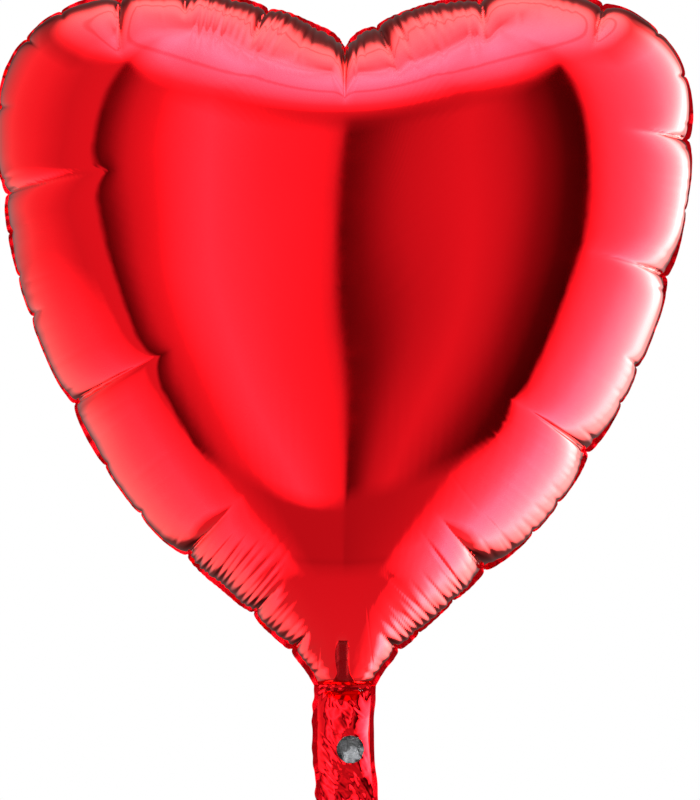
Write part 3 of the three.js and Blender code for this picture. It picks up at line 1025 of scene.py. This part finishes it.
def neck_film(side, u, z):
    """Points of the front (side -1) or back (side 1) film of the neck and tail, u from -1 to 1 across it."""
    settings = bpy.context.scene.balloon_neck
    x = u * (CORNER_X + flare(z))
    swell_up = smooth((-z - 0.003) / 0.009) * smooth((0.05 + z) / 0.012)
    in_tail = smooth((-z - 0.05) / 0.02)
    most = (FRONT_SWELL if side < 0 else BACK_SWELL) * swell_up + TAIL_SWELL * in_tail
    loose = smooth(-z / 0.01) * (1 - u**4)
    own = 0.9 * folds(x, z, 7 if side < 0 else 8, 16, 12 * MM, 34 * MM)
    own += 0.24 * streaks(x, z, 17 if side < 0 else 18, 90)
    bulge = SEAM_GAP + (FLAT_BULGE + most) * lens(u)
    bulge = bulge + settings.crumple * loose * (0.9 + np.clip(own, -0.9, 1.4))
    pinch = smooth(1 - np.abs(z - PINCH_Z) / PINCH_REACH) + 1.3 * root_folds(x, z)
    bulge -= 0.8 * MM * (1 - u**4) * pinch * smooth(-z / (1.2 * MM))
    bulge = np.maximum(bulge, SEAM_GAP)
    if side > 0:
        behind = smooth((z - FOLD_BOTTOM) / (3.6 * MM)) * smooth((FOLD_TOP - z) / (8 * MM))
        bulge += FOLD_RISE * behind * smooth(1.5 - np.abs(middle_x(z) + x - HOLE_X) / (9 * MM))
    return np.stack([middle_x(z) + x, sheet_middle(x, z) + side * bulge, z + 0 * u], axis=-1)


def film_piece(name, side, top, bottom, rows, columns=58):
    u = np.sin(np.linspace(-math.pi / 2, math.pi / 2, columns))[None, :] * np.ones((rows, 1))
    z = np.linspace(top, bottom, rows)[:, None] * np.ones((1, columns))
    outer = neck_film(side, u, z)
    inner = outer - np.array([0, side * bpy.context.scene.balloon_neck.film, 0])
    piece = closed_piece(name, outer, inner, [material_named("Red foil"), material_named("Silver side")])
    if top == 0:
        # painted shade in the root crease
        paint_root_shade(piece)
    return piece


def paint_root_shade(piece):
    """Paints shade along the pinched line across the root of the neck: faces there get the dark fused colour
    as painted shade of the crease.
    """
    mesh = piece.data
    # Painted shade: the crease's shadow is coloured in with the dark fused colour.
    mesh.materials.append(material_named("Dark fused film and painted shade"))
    for face in mesh.polygons:
        x, _, z = face.center
        line = -2.3 * MM + 0.7 * MM * math.sin(x * 420) + 0.3 * MM * math.sin(x * 1100 + 1)
        half = (0.9 + 0.5 * math.sin(x * 260 + 2)) * MM
        if abs(z - line) < half and face.material_index == 0:
            face.material_index = len(mesh.materials) - 1


def bend_at_mouth(piece):
    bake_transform(piece)


def bend_at_tail(piece):
    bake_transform(piece)


def punch_hole(piece):
    """Cuts the round fill hole through the front film."""
    radius = bpy.context.scene.balloon_neck.hole_radius
    bpy.ops.mesh.primitive_cylinder_add(
        vertices=72,
        radius=radius,
        depth=24 * MM,
        location=(HOLE_X, -12 * MM - SEAM_GAP, HOLE_Z),
        rotation=(math.pi / 2, 0, 0),
    )
    punch = bpy.context.object
    cut = piece.modifiers.new("Fill hole", "BOOLEAN")
    cut.operation, cut.solver, cut.object = "DIFFERENCE", "EXACT", punch
    bpy.context.view_layer.update()
    cut_mesh = bpy.data.meshes.new_from_object(piece.evaluated_get(bpy.context.evaluated_depsgraph_get()))
    piece.modifiers.clear()
    piece.data = cut_mesh
    bpy.data.objects.remove(punch)


class BALLOON_OT_neck_films(bpy.types.Operator):
    """Make the crumpled front and back films of the neck and the tail, with the punched fill hole"""

    bl_idname = "balloon.neck_films"
    bl_label = "Neck and Tail Films"

    def execute(self, context):
        for side, word in ((-1, "front"), (1, "back")):
            neck = film_piece(f"neck_{word}_foil", side, 0, NECK_END, 96)
            if side < 0:
                punch_hole(neck)
            bend_at_mouth(neck)
            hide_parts(f"neck_{word}")
            tail = film_piece(f"tail_{word}_foil", side, NECK_END, TAIL_LOW[2], 100)
            bend_at_tail(tail)
            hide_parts(f"tail_{word}")
        return {"FINISHED"}


class BALLOON_OT_neck_seals(bpy.types.Operator):
    """Make the crimped strips down both sides of the neck and the tail"""

    bl_idname = "balloon.neck_seals"
    bl_label = "Neck and Tail Seals"

    def execute(self, context):
        width = SEAL_OUTER - SEAL_INNER
        offsets = np.linspace(0, width, 9)
        for side, word in ((-1, "left"), (1, "right")):
            for part, top, bottom, rows in (("neck", 0, NECK_END, 120), ("tail", NECK_END, TAIL_LOW[2], 124)):
                z = np.linspace(top, bottom, rows)
                points = np.zeros((len(offsets), rows, 3))
                edge = 0.35 * MM * waves(z, 13 + side, 8 * MM, 26 * MM) * smooth(-z / 0.01)
                reach = SEAL_INNER + flare(z) + offsets[:, None] * (1 + edge / width)
                points[..., 0] = middle_x(z) + side * reach
                points[..., 1] = sheet_middle(side * reach, z[None, :])
                points[..., 2] = z
                piece = sealed_strip(f"{part}_seal_{word}_strip", offsets, points, 2.2 * MM)
                (bend_at_mouth if part == "neck" else bend_at_tail)(piece)
                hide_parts(f"{part}_seal_{word}")
        return {"FINISHED"}


class BALLOON_OT_valve(bpy.types.Operator):
    """Make the four clear films of the valve, in the neck and up inside the heart"""

    bl_idname = "balloon.valve"
    bl_label = "Valve Films"

    def execute(self, context):
        half = SLEEVE_HIGH[0]
        film = context.scene.balloon_neck.film
        lengths = {
            "inlet_front": INLET_LOW[2],
            "inlet_back": BACK_INLET_LOW[2],
            "sleeve_front": SLEEVE_HIGH[2],
            "sleeve_back": SLEEVE_HIGH[2],
        }
        for name, end in lengths.items():
            side = -1 if name.endswith("front") else 1
            rows, columns = 80, 26
            z = np.linspace(0, end, rows)[:, None] * np.ones((1, columns))
            x = np.linspace(-half, half, columns)[None, :] * np.ones((rows, 1))
            y = sheet_middle(x, np.minimum(z, 0)) + side * SEAM_GAP
            if end > 0:
                wave = waves(z + 0.3 * x, 17 + side, 0.012, 0.04)
                y = side * (0.1 + 0.12 * smooth(z / 0.01) * (1 + wave)) * MM
            outer = np.stack([x + middle_x(np.minimum(z, 0)), y, z], axis=-1)
            inner = outer - np.array([0, side * 0.6 * film, 0])
            piece = closed_piece(f"valve_{name}_film", outer, inner, [material_named("Valve film")])
            if end < 0:
                bend_at_mouth(piece)
            else:
                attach(piece, "valve_flap" if side < 0 else "heart")
            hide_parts(f"valve_{name}")
        return {"FINISHED"}


# ---- Stage ----


class BALLOON_OT_stage(bpy.types.Operator):
    """Make the pale floor, the soft studio light and the camera"""

    bl_idname = "balloon.stage"
    bl_label = "Studio Stage"

    def execute(self, context):
        scene = context.scene
        mesh = bpy.data.meshes.new("floor")
        half = FLOOR_HALF
        corners = [(-half, -half, 0), (half, -half, 0), (half, half, 0), (-half, half, 0)]
        mesh.from_pydata(corners, [], [(0, 1, 2, 3)])
        floor = bpy.data.objects.new("floor", mesh)
        floor.location.z = -FLOOR_DROP
        pale = bpy.data.materials.new("Pale floor")
        pale.use_nodes = True
        pale.node_tree.nodes["Principled BSDF"].inputs["Base Color"].default_value = (0.9, 0.9, 0.9, 1)
        mesh.materials.append(pale)
        floor.visible_glossy = False
        scene.collection.objects.link(floor)
        studio_world(scene)
        camera = bpy.data.cameras.new("camera")
        camera.lens, camera.sensor_fit, camera.sensor_width = LENS, "HORIZONTAL", SENSOR
        eye = bpy.data.objects.new("camera", camera)
        distance = VIEW_WIDTH * camera.lens / camera.sensor_width
        eye.location = (VIEW_MIDDLE[0], -distance, VIEW_MIDDLE[1])
        eye.rotation_euler = (math.pi / 2, 0, 0)
        scene.collection.objects.link(eye)
        scene.camera = eye
        scene.view_settings.view_transform = "Standard"
        return {"FINISHED"}


def studio_world(scene):
    """White all round, with a bright card left of the camera and a dark one right of it."""
    world = bpy.data.worlds.new("Studio")
    scene.world = world
    world.use_nodes = True
    nodes, links = world.node_tree.nodes, world.node_tree.links
    nodes.clear()
    output = nodes.new("ShaderNodeOutputWorld")
    background = nodes.new("ShaderNodeBackground")
    background.inputs["Color"].default_value = (1, 1, 1, 1)
    links.new(background.outputs[0], output.inputs["Surface"])
    coord = nodes.new("ShaderNodeTexCoord")
    parts = nodes.new("ShaderNodeSeparateXYZ")
    links.new(coord.outputs["Generated"], parts.inputs[0])

    def math_node(operation, a, b=None, clamp=False):
        node = nodes.new("ShaderNodeMath")
        node.operation, node.use_clamp = operation, clamp
        for index, value in enumerate((a, b)):
            if value is None:
                continue
            if isinstance(value, (int, float)):
                node.inputs[index].default_value = value
            else:
                links.new(value, node.inputs[index])
        return node.outputs[0]

    def ramp_node(value, stops, brightest):
        """A ramp of brightness over a value from 0 to 1."""
        ramp = nodes.new("ShaderNodeValToRGB")
        place_stops(ramp.color_ramp, [(place, bright / brightest) for place, bright in stops])
        links.new(value, ramp.inputs["Fac"])
        return math_node("MULTIPLY", ramp.outputs["Color"], brightest)

    def turn(degrees):
        return (degrees + 180) / 360

    def rise(degrees):
        return (math.sin(math.radians(degrees)) + 1) / 2

    x, y, z = parts.outputs
    azimuth = math_node("ARCTAN2", x, math_node("MULTIPLY", y, -1))  # 0 towards the camera, + to its right
    spread = math_node("MULTIPLY", math_node("ABSOLUTE", z), CARD_NARROWING[1])
    narrowed = math_node("MULTIPLY", azimuth, math_node("ADD", spread, CARD_NARROWING[0]))
    turned = math_node("MULTIPLY", narrowed, 0.5 / math.pi)
    across = math_node("ADD", turned, 0.5, clamp=True)
    height = math_node("MULTIPLY_ADD", z, 0.5)
    height.node.inputs[2].default_value = 0.5
    cards = ramp_node(across, [(turn(a), b) for a, b in CARD_LIGHT], BRIGHTEST)
    below = ramp_node(across, [(turn(a), b) for a, b in LOW_LIGHT], BRIGHTEST)
    ceiling = ramp_node(across, [(turn(a), b) for a, b in CEILING_ROUND], CEILING_MOST)
    high = ramp_node(height, [(rise(a), b) for a, b in HIGH_LIGHT], BRIGHTEST)
    above = math_node("MULTIPLY", ceiling, high)
    lower = ramp_node(across, [(turn(a), b) for a, b in CARD_BOTTOM], 1)
    blur = ramp_node(across, [(turn(a), b) for a, b in EDGE_BLUR], 1)
    below_edge = math_node("SUBTRACT", math_node("SUBTRACT", lower, 1.0), z)
    is_low = math_node("DIVIDE", below_edge, blur, clamp=True)
    below = blend_values(
        math_node,
        below,
        ramp_node(height, [(rise(a), b) for a, b in FLOOR_LIGHT], 1),
        math_node("MULTIPLY", math_node("SUBTRACT", -FLOOR_FROM, z), FLOOR_SHARPNESS, clamp=True),
    )
    edge = ramp_node(across, [(turn(a), b) for a, b in CARD_TOP], 1)
    above_edge = math_node("SUBTRACT", z, edge)
    is_high = math_node("MULTIPLY", above_edge, CEILING_SHARPNESS, clamp=True)
    total = blend_values(math_node, blend_values(math_node, cards, below, is_low), above, is_high)
    seen = nodes.new("ShaderNodeLightPath")
    light = blend_values(math_node, total, 1.0, seen.outputs["Is Camera Ray"])
    links.new(light, background.inputs["Strength"])


def blend_values(math_node, a, b, share):
    kept = math_node("MULTIPLY", a, math_node("SUBTRACT", 1, share))
    return math_node("ADD", kept, math_node("MULTIPLY", b, share))


def place_stops(ramp, stops):
    while len(ramp.elements) > 1:
        ramp.elements.remove(ramp.elements[-1])
    ramp.elements[0].position = stops[0][0]
    ramp.elements[0].color = (stops[0][1],) * 3 + (1,)
    for position, value in stops[1:]:
        ramp.elements.new(position).color = (value,) * 3 + (1,)


class BALLOON_PT_panel(bpy.types.Panel):
    """The steps that build the balloon"""

    bl_label = "Heart Foil Balloon"
    bl_idname = "BALLOON_PT_panel"
    bl_space_type = "VIEW_3D"
    bl_region_type = "UI"
    bl_category = "Balloon"

    def draw(self, context):
        for place in SETTINGS:
            settings = getattr(context.scene, place)
            for name in settings.__annotations__:
                self.layout.prop(settings, name)
        for operator in OPERATORS:
            self.layout.operator(operator.bl_idname)


OPERATORS = (
    BALLOON_OT_stage,
    BALLOON_OT_heart,
    BALLOON_OT_rim_seal,
    BALLOON_OT_neck_films,
    BALLOON_OT_neck_seals,
    BALLOON_OT_valve,
)
SETTINGS = {
    "balloon_film": BalloonFilmSettings,
    "balloon_seal": BalloonSealSettings,
    "balloon_neck": BalloonNeckSettings,
    "balloon_colours": BalloonColours,
}
CLASSES = (*SETTINGS.values(), *OPERATORS, BALLOON_PT_panel)


def register():
    for cls in CLASSES:
        bpy.utils.register_class(cls)
    for place, group in SETTINGS.items():
        setattr(bpy.types.Scene, place, PointerProperty(type=group))


def unregister():
    for place in SETTINGS:
        delattr(bpy.types.Scene, place)
    for cls in reversed(CLASSES):
        bpy.utils.unregister_class(cls)


def main():
    register()
    bpy.ops.balloon.stage()
    bpy.ops.balloon.heart()
    bpy.ops.balloon.rim_seal()
    bpy.ops.balloon.neck_films()
    bpy.ops.balloon.neck_seals()
    bpy.ops.balloon.valve()


if __name__ == "__main__":
    main()
